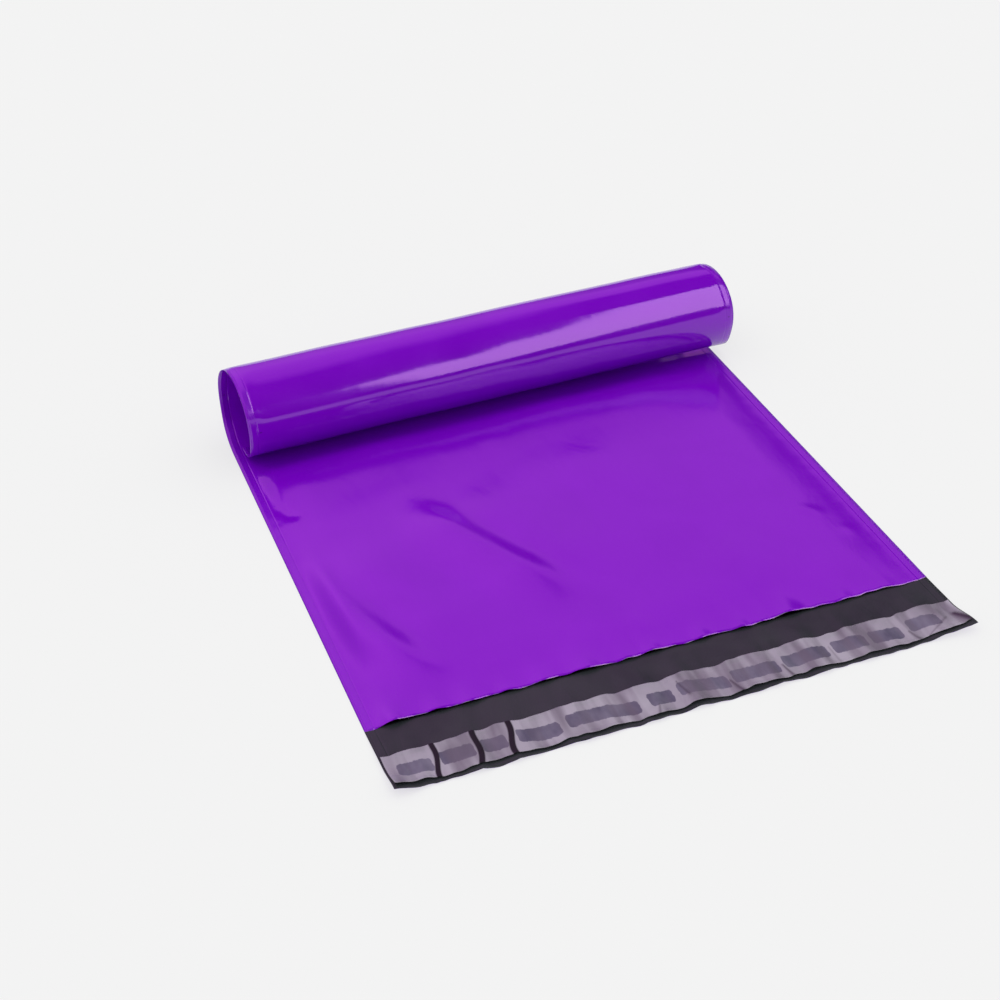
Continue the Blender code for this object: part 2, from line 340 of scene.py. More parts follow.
def past_curl_line(x, y):
    """How far a point of the flat mailer lies past the line where the curl starts."""
    return (y - FLAT_LENGTH) * math.cos(CURL_SKEW) - x * math.sin(CURL_SKEW)


def lip_lift(x, y):
    """How far the front wall arches off the flap near its lip."""
    lift = np.full_like(x, LIP_GAP)
    behind = np.maximum(y - FLAP_LENGTH, 0)
    for at, half, height in LIP_ARCHES:
        reach = (0.5 * half + ARCH_REACH) * MM
        near = np.exp(-(((x - at * MM) / (half * ARCH_SHARE * MM)) ** 2))
        lift += LIP_RISE * height * MM * near * np.exp(-((behind / reach) ** ARCH_FALL))
    return lift


def bulge(x, past):
    """The bulge beside the curl. It follows the line where the curl starts, and fades to the right."""
    line = BULGE_SWING * np.cos(2 * math.pi * (x - BULGE_CREST) / BULGE_SWING_LENGTH)
    line = line + wave(x, *BULGE_WAVE)
    height = BULGE_HEIGHT * np.exp(-(((past + BULGE_SETBACK - line) / BULGE_REACH) ** 2))
    return height * (1 - BULGE_FADE_SHARE * smooth_step((x - BULGE_FADE_START) / BULGE_FADE_REACH))


def inside_welds(x):
    """How far a point lies inside the nearer side weld."""
    return HALF_WIDTH - SIDE_WELD - np.abs(x)


def slack(x, y):
    """The gap between the two walls of film: nearly closed at the welds and where the curl presses."""
    inward, past = inside_welds(x), past_curl_line(x, y)
    near, wide = smooth_step(inward / FOLD_BORDER), smooth_step(inward / SLACK_BORDER)
    free = smooth_step(-(past + PRESSED_REACH) / FREE_REACH)
    at_lip = LIP_SLACK_SHARE + (1 - LIP_SLACK_SHARE) * smooth_step((y - FLAP_LENGTH) / LIP_REACH)
    swell = SLACK + wave(x + 0.3 * y, *SLACK_WAVE_ACROSS) + wave(y - 0.4 * x, *SLACK_WAVE_ALONG)
    lift = lip_lift(x, y)
    for one in FOLDS:
        lift = lift + fold(x, y, *one)
    rise = wide * swell * at_lip + smooth_step(inward / BULGE_BORDER) * bulge(x, past) + near * lift
    rise = rise + smooth_step(inward / PINCH_BORDER) * pinch(x, y, *PINCH)
    rise = np.maximum(rise, SUNK_SHARE * rise)
    return SEAM_GAP + near * (POUCH_GAP - SEAM_GAP) + free * rise


def weld_pucker(x, y):
    """Short ripples where the side welds have shrunk the film, fading inwards."""
    near = np.exp(-((inside_welds(x) / WELD_PUCKER_REACH) ** 2))
    near = near * smooth_step((y - WELD_PUCKER_START) / WELD_PUCKER_START)
    return near * raised_wave(y + np.sign(x) * WELD_PUCKER_SHIFT, *WELD_PUCKER)


def flap_lift(x, y):
    """How far the flap ruffles off the table: most at its front edge, nothing at the lip."""
    ruffle = raised_wave(x, *FLAP_RUFFLE) + raised_wave(x, *FLAP_RIPPLE)
    lift = smooth_step((RUFFLE_END - y) / RUFFLE_REACH) * ruffle
    for side, height, start, back in FLAP_CORNERS:
        across = smooth_step((side * x - start) / CORNER_REACH)
        lift = lift + height * across * smooth_step((back - y) / back)
    return lift


def pleat_depth(x, y):
    """How deep the narrow pleats pinched across the liner are."""
    depth = np.zeros_like(x)
    for at, half, deep, slant in PLEATS:
        wander = PLEAT_WANDER * np.sin(y / PLEAT_WANDER_LENGTH + at)
        middle = at * MM + slant * (y - LINER_MIDDLE) + wander
        depth = np.maximum(depth, deep * MM * np.exp(-(((x - middle) / (half * MM)) ** 2)))
    return depth


def crease_share(x, y):
    """How deep in a soft crease a point of the liner lies, from 0 to 1. Each widens towards its end."""
    deepest = np.zeros_like(x)
    for start, end, half, tone in CREASES:
        run = np.subtract(end, start) * MM
        from_start = x - start[0] * MM, y - start[1] * MM
        share = np.clip((from_start[0] * run[0] + from_start[1] * run[1]) / run.dot(run), 0, 1)
        aside = np.hypot(from_start[0] - share * run[0], from_start[1] - share * run[1])
        width = half * MM * (CREASE_TIP + (1 - CREASE_TIP) * share)
        deepest = np.maximum(deepest, tone * np.exp(-((aside / width) ** 2)))
    return deepest


def curl_table():
    """The curl's section: how far round it a point is, and the reach, rise and lean there."""
    longest = CURL_LENGTH + WIDTH * math.tan(CURL_SKEW) + PROFILE_SPARE
    along = np.linspace(0, longest, 2 + int(longest / PROFILE_STEP))
    curvature = 1 / CURL_RADIUS + (END_CURVATURE - 1 / CURL_RADIUS) * along / CURL_LENGTH
    curvature *= np.clip(along / CURL_LEAD, 0, 1)

    def summed(rate):
        return np.concatenate([[0], np.cumsum((rate[1:] + rate[:-1]) / 2 * along[1])])

    lean = summed(curvature)
    return along, summed(np.cos(lean)), summed(np.sin(lean)), lean


CURL = curl_table()


def curl_wave(x, around):
    """The slight unevenness of the curl: long soft waves, and puckers near its welded ends."""
    end = HALF_WIDTH - np.abs(x)
    long_wave = wave(x + 0.4 * around, *CURL_WAVE_ACROSS) + wave(x - around, *CURL_WAVE_ROUND)
    at_weld = np.exp(-(((end - SIDE_WELD) / CURL_PUCKER_REACH) ** 2))
    flare = smooth_step(1 - end / SIDE_WELD) * (CURL_FLARE + wave(around, *CURL_FLARE_WAVE))
    return smooth_step(around / CURL_WAVE_START) * (long_wave + at_weld * wave(around, *CURL_PUCKER) + flare)


def curled(x, y, height):
    """Where points of the flat mailer lie once the closed end has curled over."""
    across = past_curl_line(x, y)
    around = np.maximum(across, 0)
    reach, rise, lean = (np.interp(around, CURL[0], values) for values in CURL[1:])
    lifted = height + curl_wave(x, around)
    moved = np.where(across > 0, reach - around - lifted * np.sin(lean), 0)
    height = np.where(across > 0, rise + lifted * np.cos(lean), height)
    x = x - moved * math.sin(CURL_SKEW)
    y = y + moved * math.cos(CURL_SKEW)
    return np.stack([x, y - FLAT_LENGTH / 2, height], axis=1)


# Meshes

def grid(columns, rows):
    """A unit grid as a bmesh, with its points running from 0 to 1 both ways."""
    bm = bmesh.new()
    bmesh.ops.create_grid(bm, x_segments=columns, y_segments=rows, size=0.5)
    bmesh.ops.translate(bm, verts=bm.verts, vec=(0.5, 0.5, 0))
    return bm


def grid_places(bm):
    """Each point's share of the way across and along a unit grid."""
    places = np.array([vert.co[:] for vert in bm.verts])
    return places[:, 0], places[:, 1]


def move_points(bm, places):
    for vert, place in zip(bm.verts, places):
        vert.co = place


def add_uv(bm, across, along):
    """Lays the flat sheet out as its UV map, in metres."""
    layer = bm.loops.layers.uv.new("sheet")
    for face in bm.faces:
        for loop in face.loops:
            index = loop.vert.index
            loop[layer].uv = (across[index], along[index])


def finish_piece(name, bm, materials):
    mesh = bpy.data.meshes.new(name)
    bm.to_mesh(mesh)
    bm.free()
    for one in materials:
        mesh.materials.append(one)
    mesh.shade_smooth()
    piece = bpy.data.objects.new(name, mesh)
    bpy.context.scene.collection.objects.link(piece)
    return piece


def thicken(piece, thickness, inner_slot):
    """Gives a sheet its thickness, half to each side."""
    wall = piece.modifiers.new("thickness", "SOLIDIFY")
    wall.thickness = thickness
    wall.offset = 0
    wall.material_offset = inner_slot
    wall.material_offset_rim = 0
    return piece


def row_plan():
    """The web's rows: each one's distance from the flap's edge, and its turn round the closed fold."""
    last = BLANK_LENGTH - (FILM + POUCH_GAP) / 2
    curl_start = FLAT_LENGTH - ROW_MARGIN
    flap = np.linspace(0, FLAP_LENGTH + ROW_MARGIN, FLAP_ROWS + 1)
    back = np.linspace(flap[-1], curl_start, BACK_ROWS + 1)[1:]
    outer = np.linspace(curl_start, last, OUTER_CURL_ROWS + 1)[1:]
    inner = np.linspace(last, curl_start, INNER_CURL_ROWS + 1)[1:]
    front = np.linspace(curl_start, FLAP_LENGTH, FRONT_ROWS + 1)[1:]
    turns = np.linspace(0, math.pi, FOLD_ROWS + 1)[1:]
    before, after = [flap, back, outer], [inner, front]
    distances = np.concatenate([*before, np.full(FOLD_ROWS, last), *after])
    folded = np.concatenate([[0] * sum(map(len, before)), turns, [math.pi] * sum(map(len, after))])
    return distances, folded


def cut_edge_wobble(x, phase):
    """The slight unevenness of an edge that was cut and then pulled."""
    return wave(x, *EDGE_WAVE, phase) + wave(x, *EDGE_NICKS, 2 * phase)


def wall_gap(x, y):
    """The gap between the two walls, also round the curl, where they press together."""
    gap = np.where(y < FLAT_LENGTH + CURL_WAVE_START, slack(x, y), POUCH_GAP)
    pressed = SEAM_GAP + smooth_step(inside_welds(x) / SLACK_BORDER) * (POUCH_GAP - SEAM_GAP)
    return np.where(past_curl_line(x, y) > 0, pressed, gap)


def make_film(outside, inside):
    """The whole bag as one sheet of film, folded at its closed end and curled."""
    distances, folded = row_plan()
    rows = len(distances) - 1
    bm = grid(COLUMNS, rows)
    across, along = grid_places(bm)
    row = np.rint(along * rows).astype(int)
    x = (across - 0.5) * WIDTH
    y, turn = distances[row], folded[row]
    add_uv(bm, x, np.where(turn > math.pi / 2, 2 * BLANK_LENGTH - y, y))

    front_wall = turn > math.pi / 2
    at_flap = smooth_step(1 - y / FLAP_EDGE_REACH) * ~front_wall
    at_lip = smooth_step(1 - (y - FLAP_LENGTH) / LIP_EDGE_REACH) * front_wall
    y = y + at_flap * (FLAP_EDGE_INSET + cut_edge_wobble(x, FLAP_EDGE_START))
    y = y + at_lip * LIP_EDGE_SHARE * cut_edge_wobble(x, LIP_EDGE_START)

    radius = (FILM + wall_gap(x, y)) / 2
    y = y + radius * np.sin(turn)
    height = FILM / 2 + radius * (1 - np.cos(turn))
    height = height + np.where(past_curl_line(x, y) < 0, front_wall * weld_pucker(x, y), 0)
    on_flap = flap_lift(x, y) * (1 - smooth_step((y - LEVEL_START) / LEVEL_REACH))
    groove = FILM_PLEAT_SHARE * pleat_depth(x, y) * smooth_step((FILM_PLEAT_END - y) / FILM_PLEAT_FADE)
    height = height + np.where(front_wall, 0, on_flap + groove)
    move_points(bm, curled(x, y, height))
    bmesh.ops.reverse_faces(bm, faces=bm.faces[:])
    piece = finish_piece("film", bm, [outside, inside])
    return thicken(piece, FILM, 1)


def contact_share(x, y):
    """1 where the liner touches its adhesive, 0 elsewhere, with rounded ends to each stretch."""
    best = np.zeros_like(x)
    middle = LINER_MIDDLE - CONTACT_SETBACK + wave(x, *CONTACT_WAVE)
    for start, end in CONTACTS:
        centre = (start + end) / 2 * MM
        past_end = np.maximum(start * MM + CONTACT_END - x, x - end * MM + CONTACT_END)
        over = np.maximum(past_end, 0) * CONTACT_END_PULL
        reach = np.abs(y - middle + CONTACT_SLANT * (x - centre))
        distance = np.hypot(over, np.maximum(reach - CONTACT_HALF + CONTACT_ROUND, 0)) - CONTACT_ROUND
        best = np.maximum(best, np.clip(0.5 - distance / CONTACT_BLUR, 0, 1))
    return best


def liner_rise(x, y, aside, contact):
    """How far the liner stands off: puckers where it is loose, curled edges and one lifted corner."""
    loose = raised_wave(x + 0.25 * y, *LINER_PUCKER) + raised_wave(x - 0.3 * y, *LINER_CRIMP)
    share = LINER_MIDDLE_SHARE + (1 - LINER_MIDDLE_SHARE) * aside**2
    puckers = loose * share * (1 - LINER_STUCK_SHARE * contact)
    at_edge = smooth_step((np.abs(aside) - LINER_EDGE_START) / (1 - LINER_EDGE_START))
    edge_curl = LINER_EDGE_CURL * at_edge * (LINER_EDGE_MEAN + wave(x, *LINER_EDGE_WAVE))
    at_corner = smooth_step((-x - LINER_CORNER_START) / LINER_CORNER_REACH)
    corner = LINER_CORNER * at_corner * smooth_step((LINER_CORNER_BACK - y) / LINER_CORNER_RAMP)
    return puckers + edge_curl + corner


def make_liner(material):
    """The peel-off liner: a strip that has puckered where it has let go of its adhesive."""
    bm = grid(LINER_COLUMNS, LINER_ROWS)
    across, along = grid_places(bm)
    x = LINER_LOW.x + across * (LINER_HIGH.x - LINER_LOW.x)
    y = FLAP_EDGE_MARGIN + along * LINER_WIDTH
    add_uv(bm, x, y)
    aside = (y - LINER_MIDDLE) / (LINER_WIDTH / 2)
    contact, pleat, crease = contact_share(x, y), pleat_depth(x, y), crease_share(x, y)
    raised = liner_rise(x, y, aside, contact) + LINER_PLEAT_SHARE * pleat + CREASE_HEIGHT * crease
    height = FILM + LINER_LIFT + flap_lift(x, y) + raised
    y = y + wave(x, *LINER_SIDE_WAVE) * np.abs(aside) + wave(x, *LINER_SIDE_NICKS) * aside
    deepest = max(one[2] for one in PLEATS) * MM
    for name, values in (("contact", contact), ("pleat", pleat / deepest), ("crease", crease)):
        layer = bm.verts.layers.float.new(name)
        for vert, value in zip(bm.verts, values):
            vert[layer] = value
    move_points(bm, curled(x, y, height))
    piece = finish_piece("release_liner_film", bm, [material])
    return thicken(piece, FILM, 0)


def make_adhesive(material):
    """The line of hot-melt adhesive, laid in a slightly uneven bead."""
    bm = grid(BEAD_COLUMNS, BEAD_ROWS)
    across, along = grid_places(bm)
    x = GLUE_LOW.x + across * (GLUE_HIGH.x - GLUE_LOW.x)
    y = GLUE_LOW.y - BAG_LOW.y + along * (GLUE_HIGH.y - GLUE_LOW.y)
    add_uv(bm, x, y)
    aside = 2 * along - 1
    y = y + aside * wave(x, *BEAD_EDGE_WAVE)
    bead = BEAD_CROWN * (1 - aside**4) + wave(x + 3 * y, *BEAD_WAVE)
    height = FILM + BEAD_LIFT + flap_lift(x, y) + bead + GLUE_PLEAT_SHARE * pleat_depth(x, y)
    move_points(bm, curled(x, y, height))
    piece = finish_piece("adhesive_bead", bm, [material])
    return thicken(piece, BEAD_FILM, 0)


# Materials

PURPLE = (0.188, 0.0008, 0.535)
PURPLE_DEEP = (0.170, 0.0006, 0.500)
# A painted highlight: the pale line where the front wall's cut lip catches the light
EDGE_PAINTED_HIGHLIGHT = (0.260, 0.200, 0.340)
CHARCOAL = (0.018, 0.022, 0.025)
CHARCOAL_PALE = (0.033, 0.037, 0.041)
# Painted shade for the inside of the pouch
POUCH_PAINTED_SHADE = (0.0015, 0.0010, 0.0020)
LILAC_GREY = (0.268, 0.230, 0.296)
LILAC_PALE = (0.380, 0.338, 0.414)
CONTACT_GREY = (0.165, 0.148, 0.210)
CONTACT_DEEP = (0.085, 0.078, 0.125)
GLUE_GREY = (0.120, 0.110, 0.165)
# Painted shade for the hollows of the liner's gathers
GATHER_PAINTED_SHADE = (0.110, 0.088, 0.122)
# Painted shade for the liner's creases
CREASE_PAINTED_SHADE = (0.032, 0.024, 0.036)
# Painted shade for the narrow pleats across the liner
PLEAT_PAINTED_SHADE = (0.010, 0.006, 0.012)

# Noises: scale, detail, roughness and distortion, and how each is stretched along the web
STREAKS = (420, 3, 0.6)
STREAK_STRETCH = (1, 0.03, 1)
STREAK_HEIGHT = 0.12
STREAK_SHARE = 0.3
HAZE = (22, 4, 0.55, 0.6)
HAZE_RANGE = (0.3, 0.7)
RIPPLES = (70, 3, 0.5, 0.8)
RIPPLE_STRETCH = (1, 0.45, 1)
ORANGE_PEEL = (900, 2, 0.5)
# Noise that breaks up the painted highlight along the cut lip, and the range it is read over
EDGE_HIGHLIGHT_BREAKS = (170, 2, 0.5)
EDGE_HIGHLIGHT_BREAK_RANGE = (0.45, 0.58)
GATHERS = (105, 2, 0.45, 0.3)
GATHER_STRETCH = (1, 0.16, 1)
# Where the painted shade in the gathers' hollows starts and ends, and how dark it gets
GATHER_SHADE_EDGES = (0.58, 0.38)
GATHER_SHADE_DEPTH = 0.7
GATHER_HEIGHT = 1.5
PATCHES = (75, 3, 0.6)
PATCH_STRETCH = (1, 0.5, 1)
PATCH_RANGE = (0.35, 0.65)
RAGGED_EDGE = (420, 3, 0.6)
RAGGED_SHARE = 0.7
TOUCH_RANGE = (0.77, 0.93)
# How deep in a pleat its painted shade starts and is full
PLEAT_SHADE_RANGE = (0.30, 0.60)
PURPLE_CLOUDS = (0.35, 0.68)
LINER_CLOUDS = (0.32, 0.68)

# Places on the web: the ribs of a weld with their reach, the painted highlight along the cut lip, the curl,
# and the edge of the painted shade inside the pouch
WELD_RIBS = ((SIDE_WELD, 0.0006), (0.0012, 0.0005))
WELD_BLUR = 0.0005
EDGE_HIGHLIGHT_LINE = 0.0002
CURL_BLUR = 0.02
POUCH_SHADE_EDGE = (FLAP_LENGTH - 0.0004, FLAP_LENGTH + 0.0010)

# Finishes: grain, depth of the texture in metres, roughness at least and at most, and gloss
FILM_IOR = 1.5
PURPLE_GRAIN, PURPLE_BUMP, PURPLE_ROUGH, PURPLE_GLOSS = 0.05, 0.00016, (0.12, 0.16), 1.0
PURPLE_GLOSS_TINT = (1.0, 0.52, 1.0)
WELD_ROUGHER = 0.08
WELD_DEPTH_OUTSIDE = 0.7
WELD_DEPTH_INSIDE = 0.3
CURL_SMOOTHER = 0.045
CURL_TEXTURE = 0.3
CHARCOAL_GRAIN, CHARCOAL_BUMP, CHARCOAL_ROUGH, CHARCOAL_GLOSS = 0.12, 0.00040, (0.30, 0.40), 0.22
LINER_GRAIN, LINER_BUMP, LINER_ROUGH, LINER_GLOSS = 0.1, 0.00035, (0.24, 0.36), 0.3
PLEAT_ROUGHER = 0.4
GLUE_GRAIN, GLUE_BUMP, GLUE_ROUGH = 0.5, 0.0002, (0.15, 0.30)

# A Mix node keeps a set of sockets for each kind of value. These are the ones for colours
MIX_COLOUR_SOCKETS = (0, 6, 7)
MIX_COLOUR_RESULT = 2


def link(tree, source, target):
    tree.links.new(source, target)


def node(tree, kind, **values):
    """A shader node with its settings, given by attribute name, or by socket name as "in_Name"."""
    made = tree.nodes.new(kind)
    for key, value in values.items():
        if key.startswith("in_"):
            made.inputs[key[3:].replace("_", " ")].default_value = value
        else:
            setattr(made, key, value)
    return made


def noise(tree, vector, scale, detail=2.0, roughness=0.5, distortion=0.0):
    made = node(tree, "ShaderNodeTexNoise", in_Scale=scale, in_Detail=detail)
    made.inputs["Roughness"].default_value = roughness
    made.inputs["Distortion"].default_value = distortion
    link(tree, vector, made.inputs["Vector"])
    return made.outputs["Fac"]


def stretched(tree, vector, scale):
    made = node(tree, "ShaderNodeMapping")
    made.inputs["Scale"].default_value = scale
    link(tree, vector, made.inputs["Vector"])
    return made.outputs["Vector"]


def ranged(tree, value, low, high, to_low, to_high):
    made = node(tree, "ShaderNodeMapRange")
    for name, number in (("From Min", low), ("From Max", high), ("To Min", to_low), ("To Max", to_high)):
        made.inputs[name].default_value = number
    link(tree, value, made.inputs["Value"])
    return made.outputs["Result"]


def eased(tree, value, start, end):
    """Runs from 0 at the first value to 1 at the second, which may be the smaller."""
    low, high = sorted((start, end))
    ends = (0, 1) if start < end else (1, 0)
    return ranged(tree, value, low, high, *ends)


def maths(tree, operation, first, second):
    made = node(tree, "ShaderNodeMath", operation=operation)
    for socket, value in zip(made.inputs, (first, second)):
        if isinstance(value, (int, float)):
            socket.default_value = value
        else:
            link(tree, value, socket)
    return made.outputs["Value"]


def mixed(tree, factor, first, second):
    """Two colours mixed; each is a socket or a colour."""
    made = node(tree, "ShaderNodeMix", data_type="RGBA")
    for index, value in zip(MIX_COLOUR_SOCKETS, (factor, first, second)):
        socket = made.inputs[index]
        if isinstance(value, bpy.types.NodeSocket):
            link(tree, value, socket)
        elif isinstance(value, (int, float)):
            socket.default_value = value
        else:
            socket.default_value = (*value, 1)
    return made.outputs[MIX_COLOUR_RESULT]


def blended(tree, factor, first, second):
    """Two strengths mixed; each is a socket or a number."""
    share = maths(tree, "SUBTRACT", 1, factor)
    return maths(tree, "ADD", maths(tree, "MULTIPLY", share, first), maths(tree, "MULTIPLY", factor, second))


def bump(tree, height, distance):
    made = node(tree, "ShaderNodeBump", in_Distance=distance)
    link(tree, height, made.inputs["Height"])
    return made.outputs["Normal"]


def sheet_place(tree):
    """Where a point lies on the flat sheet: its place, and how far across and along that is."""
    sheet = node(tree, "ShaderNodeUVMap", uv_map="sheet").outputs["UV"]
    parts = node(tree, "ShaderNodeSeparateXYZ")
    link(tree, sheet, parts.inputs["Vector"])
    return sheet, parts.outputs["X"], parts.outputs["Y"]


def near_line(tree, value, line, reach):
    """1 on a line, fading to 0 at its reach on either side."""
    apart = maths(tree, "ABSOLUTE", maths(tree, "SUBTRACT", value, line), 0)
    return ranged(tree, apart, 0, reach, 1, 0)


def film_texture_group():
    """The texture that all the blown films share: die lines along the web, haze, and a fine grain."""
    group = bpy.data.node_groups.new("film_texture", "ShaderNodeTree")
    face = group.interface
    face.new_socket("Grain", in_out="INPUT", socket_type="NodeSocketFloat")
    for name in ("Streaks", "Haze", "Height"):
        face.new_socket(name, in_out="OUTPUT", socket_type="NodeSocketFloat")
    start = node(group, "NodeGroupInput")
    end = node(group, "NodeGroupOutput")
    sheet, _, _ = sheet_place(group)
    streaks = noise(group, stretched(group, sheet, STREAK_STRETCH), *STREAKS)
    haze = noise(group, sheet, *HAZE)
    ripples = noise(group, stretched(group, sheet, RIPPLE_STRETCH), *RIPPLES)
    grain = maths(group, "MULTIPLY", noise(group, sheet, *ORANGE_PEEL), start.outputs["Grain"])
    lines = maths(group, "MULTIPLY", streaks, STREAK_HEIGHT)
    height = maths(group, "ADD", maths(group, "ADD", ripples, lines), grain)
    link(group, streaks, end.inputs["Streaks"])
    link(group, haze, end.inputs["Haze"])
    link(group, height, end.inputs["Height"])
    return group


def weld_line_group():
    """Marks the side welds: the band, and the two fine ribs that the sealing jaw leaves on it."""
    group = bpy.data.node_groups.new("weld_lines", "ShaderNodeTree")
    for name in ("Lines", "Band"):
        group.interface.new_socket(name, in_out="OUTPUT", socket_type="NodeSocketFloat")
    end = node(group, "NodeGroupOutput")
    _, across, _ = sheet_place(group)
    inward = maths(group, "SUBTRACT", HALF_WIDTH, maths(group, "ABSOLUTE", across, 0))
    ribs = [near_line(group, inward, *one) for one in WELD_RIBS]
    band = ranged(group, inward, SIDE_WELD - WELD_BLUR, SIDE_WELD + WELD_BLUR, 1, 0)
    link(group, maths(group, "MAXIMUM", *ribs), end.inputs["Lines"])
    link(group, band, end.inputs["Band"])
    return group


def use_group(tree, group):
    made = node(tree, "ShaderNodeGroup")
    made.node_tree = group
    return made


def film_material(name, texture, grain):
    """A new material with its node tree, its shader, and the texture that the films share."""
    material = bpy.data.materials.new(name)
    material.use_nodes = True
    tree = material.node_tree
    film = use_group(tree, texture)
    film.inputs["Grain"].default_value = grain
    return material, tree, tree.nodes["Principled BSDF"], film.outputs


def by_haze(tree, film, low, high):
    """A roughness that follows the film's haze."""
    return ranged(tree, film["Haze"], *HAZE_RANGE, low, high)


def less_welds(tree, film_height, weld, share):
    """The film's height once the ribs of its side welds are pressed in."""
    return maths(tree, "SUBTRACT", film_height, maths(tree, "MULTIPLY", weld["Lines"], share))


def painted_edge_highlight(tree):
    """1 along the painted highlight on the front wall's cut lip, broken up by noise where the edge would
    turn away from the light.
    """
    sheet, _, along = sheet_place(tree)
    near = ranged(tree, along, WEB_LENGTH - 2 * EDGE_HIGHLIGHT_LINE, WEB_LENGTH - EDGE_HIGHLIGHT_LINE, 0, 1)
    broken = ranged(tree, noise(tree, sheet, *EDGE_HIGHLIGHT_BREAKS), *EDGE_HIGHLIGHT_BREAK_RANGE, 0, 1)
    return maths(tree, "MULTIPLY", near, broken)


def on_curl(tree):
    """1 on the curl, where the film is pulled smooth, and 0 on the flat part."""
    _, _, along = sheet_place(tree)
    from_fold = maths(tree, "ABSOLUTE", maths(tree, "SUBTRACT", along, BLANK_LENGTH), 0)
    return ranged(tree, from_fold, CURL_LENGTH - CURL_BLUR, CURL_LENGTH, 1, 0)


def painted_pouch_shade(tree):
    """1 inside the pouch, which is painted dark as shade because little light gets there, and 0 on the open
    flap.
    """
    _, _, along = sheet_place(tree)
    return ranged(tree, along, *POUCH_SHADE_EDGE, 0, 1)


def purple_film_material(texture, welds):
    material, tree, shader, film = film_material("purple_film", texture, PURPLE_GRAIN)
    weld = use_group(tree, welds).outputs
    clouds = maths(tree, "MULTIPLY", ranged(tree, film["Haze"], *PURPLE_CLOUDS, 0, 1), 1 - STREAK_SHARE)
    shade = maths(tree, "ADD", clouds, maths(tree, "MULTIPLY", film["Streaks"], STREAK_SHARE))
    plain = mixed(tree, shade, PURPLE_DEEP, PURPLE)
    # A painted highlight along the front wall's cut lip
    link(tree, mixed(tree, painted_edge_highlight(tree), plain, EDGE_PAINTED_HIGHLIGHT), shader.inputs["Base Color"])
    rough = by_haze(tree, film, *PURPLE_ROUGH)
    rough = maths(tree, "ADD", rough, maths(tree, "MULTIPLY", weld["Band"], WELD_ROUGHER))
    rough = maths(tree, "SUBTRACT", rough, maths(tree, "MULTIPLY", on_curl(tree), CURL_SMOOTHER))
    link(tree, rough, shader.inputs["Roughness"])
    pulled_smooth = ranged(tree, on_curl(tree), 0, 1, 1, CURL_TEXTURE)
    height = maths(tree, "MULTIPLY", film["Height"], pulled_smooth)
    height = less_welds(tree, height, weld, WELD_DEPTH_OUTSIDE)
    link(tree, bump(tree, height, PURPLE_BUMP), shader.inputs["Normal"])
    shader.inputs["IOR"].default_value = FILM_IOR
    shader.inputs["Specular IOR Level"].default_value = PURPLE_GLOSS
    shader.inputs["Specular Tint"].default_value = (*PURPLE_GLOSS_TINT, 1)
    return material


def charcoal_film_material(texture, welds):
    material, tree, shader, film = film_material("charcoal_film", texture, CHARCOAL_GRAIN)
    weld = use_group(tree, welds).outputs
    plain = mixed(tree, by_haze(tree, film, 0, 1), CHARCOAL, CHARCOAL_PALE)
    # The charcoal film is painted near black inside the pouch, as shade
    link(tree, mixed(tree, painted_pouch_shade(tree), plain, POUCH_PAINTED_SHADE), shader.inputs["Base Color"])
    link(tree, by_haze(tree, film, *CHARCOAL_ROUGH), shader.inputs["Roughness"])
    height = less_welds(tree, film["Height"], weld, WELD_DEPTH_INSIDE)
    link(tree, bump(tree, height, CHARCOAL_BUMP), shader.inputs["Normal"])
    shader.inputs["IOR"].default_value = FILM_IOR
    shader.inputs["Specular IOR Level"].default_value = CHARCOAL_GLOSS
    return material


def attribute(tree, name):
    return node(tree, "ShaderNodeAttribute", attribute_name=name).outputs["Fac"]


def liner_colour(tree, film, gathers, pinched):
    """Milky film, darker where it touches its adhesive, with painted shade in the hollows of its gathers, in
    its creases and in its pleats.
    """
    sheet, _, _ = sheet_place(tree)
    plain = mixed(tree, ranged(tree, film["Haze"], *LINER_CLOUDS, 0, 1), LILAC_GREY, LILAC_PALE)
    ragged = maths(tree, "MULTIPLY", noise(tree, sheet, *RAGGED_EDGE), RAGGED_SHARE)
    touch = ranged(tree, maths(tree, "ADD", attribute(tree, "contact"), ragged), *TOUCH_RANGE, 0, 1)
    patches = noise(tree, stretched(tree, sheet, PATCH_STRETCH), *PATCHES)
    patch = mixed(tree, ranged(tree, patches, *PATCH_RANGE, 0, 1), CONTACT_GREY, CONTACT_DEEP)
    touching = mixed(tree, touch, plain, patch)
    # The hollows of the gathers are painted darker, as shade
    painted_hollow_shade = ranged(tree, gathers, *GATHER_SHADE_EDGES, 0, GATHER_SHADE_DEPTH)
    gathered = mixed(tree, painted_hollow_shade, touching, GATHER_PAINTED_SHADE)
    # The creases are painted darker, as shade
    creased = mixed(tree, attribute(tree, "crease"), gathered, CREASE_PAINTED_SHADE)
    # The pleats are painted near black, as shade
    return mixed(tree, pinched, creased, PLEAT_PAINTED_SHADE)


